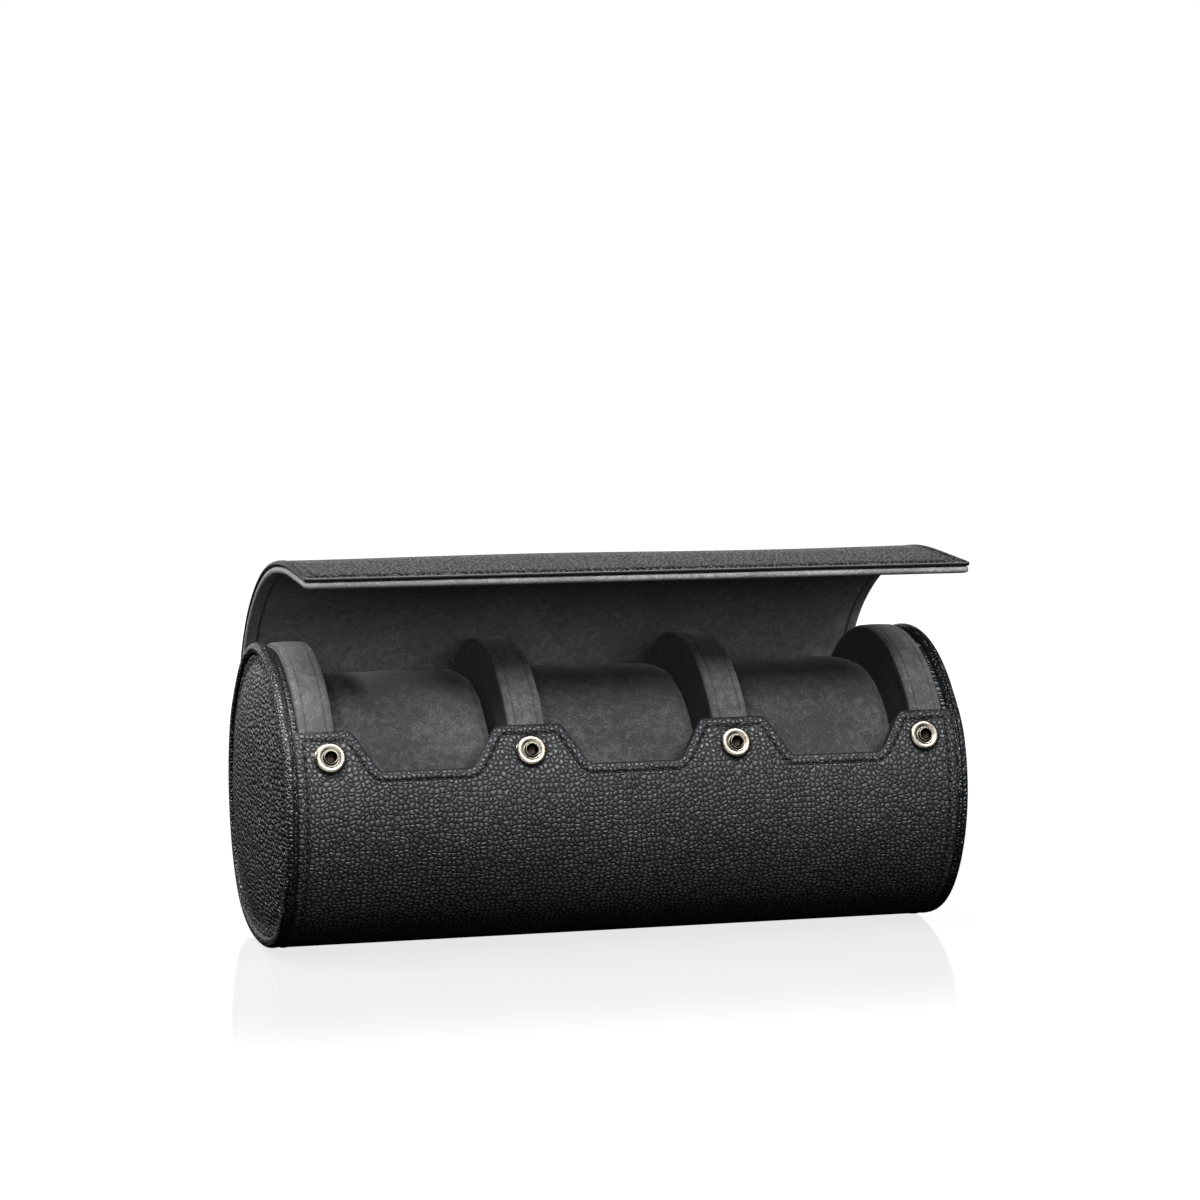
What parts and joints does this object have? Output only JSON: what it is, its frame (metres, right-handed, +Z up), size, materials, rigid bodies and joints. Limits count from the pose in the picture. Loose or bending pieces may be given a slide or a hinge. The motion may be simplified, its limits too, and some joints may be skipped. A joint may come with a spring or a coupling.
{
  "type": "watch roll case",
  "caption": "Cylindrical leather roll case lying on its side, with suede watch pillows between dividers and a soft hinged flap that closes over them with ring snaps.",
  "frame": {"origin": "centre of the flat base, on the surface the case stands on", "axes": "+X along the drum to the right as seen from the front, -Y to the front where the snaps are, +Z up"},
  "size_m": [0.2196, 0.1123, 0.12],
  "materials": {
    "black_leather": "pebbled satin",
    "lining_suede": "matte suede",
    "pillow_suede": "matte suede",
    "divider_suede": "matte suede",
    "foam": "matte",
    "fibreboard": "raw",
    "nickel": "polished nickel"
  },
  "bodies": {
    "case": {"body_leather": "black_leather", "cap_left_board": "fibreboard", "cap_left_foam": "foam", "cap_left_leather": "black_leather", "cap_left_piping": "black_leather", "cap_right_board": "fibreboard", "cap_right_foam": "foam", "cap_right_leather": "black_leather", "cap_right_piping": "black_leather", "divider_left_core": "foam", "divider_left_end_core": "foam", "divider_left_end_right_face": "divider_suede", "divider_left_end_rim": "divider_suede", "divider_left_left_face": "divider_suede", "divider_left_right_face": "divider_suede", "divider_left_rim": "divider_suede", "divider_right_core": "foam", "divider_right_end_core": "foam", "divider_right_end_left_face": "divider_suede", "divider_right_end_rim": "divider_suede", "divider_right_left_face": "divider_suede", "divider_right_right_face": "divider_suede", "divider_right_rim": "divider_suede", "snap_rivets": "nickel", "snap_studs": "nickel", "tray_board_left": "fibreboard", "tray_board_middle": "fibreboard", "tray_board_right": "fibreboard", "tray_lining_left": "lining_suede", "tray_lining_middle": "lining_suede", "tray_lining_right": "lining_suede"},
    "flap_back": {"flap_back_leather": "black_leather", "flap_back_lining": "lining_suede"},
    "flap_base": {"flap_base_leather": "black_leather", "flap_base_lining": "lining_suede"},
    "flap_crown": {"flap_crown_leather": "black_leather", "flap_crown_lining": "lining_suede"},
    "flap_front": {"flap_front_leather": "black_leather", "flap_front_lining": "lining_suede"},
    "flap_shoulder_lower": {"flap_shoulder_lower_leather": "black_leather", "flap_shoulder_lower_lining": "lining_suede"},
    "flap_shoulder_upper": {"flap_shoulder_upper_leather": "black_leather", "flap_shoulder_upper_lining": "lining_suede"},
    "flap_tip": {"flap_tip_leather": "black_leather", "flap_tip_lining": "lining_suede", "snap_socket_backs": "nickel", "snap_sockets": "nickel"},
    "pillow_left": {"pillow_left_cover": "pillow_suede", "pillow_left_ends": "pillow_suede", "pillow_left_foam": "foam"},
    "pillow_middle": {"pillow_middle_cover": "pillow_suede", "pillow_middle_ends": "pillow_suede", "pillow_middle_foam": "foam"},
    "pillow_right": {"pillow_right_cover": "pillow_suede", "pillow_right_ends": "pillow_suede", "pillow_right_foam": "foam"}
  },
  "joints": [
    {"name": "flap_fold", "type": "hinge", "parent": "case", "child": "flap_base", "pos_m": [0, 0.0512, 0.0445], "axis": [-1, 0, 0], "range_deg": [-9.1, 27.3]},
    {"name": "flap_back_bend", "type": "hinge", "parent": "flap_base", "child": "flap_back", "pos_m": [0, 0.05148, 0.06448], "axis": [-1, 0, 0], "range_deg": [-9, 27]},
    {"name": "flap_shoulder_bend", "type": "hinge", "parent": "flap_back", "child": "flap_shoulder_lower", "pos_m": [0, 0.04595, 0.08352], "axis": [-1, 0, 0], "range_deg": [0, 25]},
    {"name": "flap_shoulder_upper_bend", "type": "hinge", "parent": "flap_shoulder_lower", "child": "flap_shoulder_upper", "pos_m": [0, 0.03183, 0.10022], "axis": [-1, 0, 0], "range_deg": [0, 25]},
    {"name": "flap_crown_bend", "type": "hinge", "parent": "flap_shoulder_upper", "child": "flap_crown", "pos_m": [0, 0.013, 0.11145], "axis": [-1, 0, 0], "range_deg": [-10.5, 31.5]},
    {"name": "flap_front_bend", "type": "hinge", "parent": "flap_crown", "child": "flap_front", "pos_m": [0, -0.00955, 0.11741], "axis": [-1, 0, 0], "range_deg": [-8.7, 26.1]},
    {"name": "flap_tip_peel", "type": "hinge", "parent": "flap_front", "child": "flap_tip", "pos_m": [0, -0.03291, 0.11814], "axis": [-1, 0, 0], "range_deg": [-26.4, 30]},
    {"name": "pillow_left_lift", "type": "slide", "parent": "case", "child": "pillow_left", "axis": [0, 0, 1], "range_m": [0, 0.022]},
    {"name": "pillow_middle_lift", "type": "slide", "parent": "case", "child": "pillow_middle", "axis": [0, 0, 1], "range_m": [0, 0.022]},
    {"name": "pillow_right_lift", "type": "slide", "parent": "case", "child": "pillow_right", "axis": [0, 0, 1], "range_m": [0, 0.022]}
  ],
  "couplings": [
    {"joint": "flap_back_bend", "follows": "flap_fold", "ratio": 0.98901},
    {"joint": "flap_shoulder_upper_bend", "follows": "flap_shoulder_bend", "ratio": 1},
    {"joint": "flap_crown_bend", "follows": "flap_fold", "ratio": 1.1539},
    {"joint": "flap_front_bend", "follows": "flap_fold", "ratio": 0.95604}
  ]
}
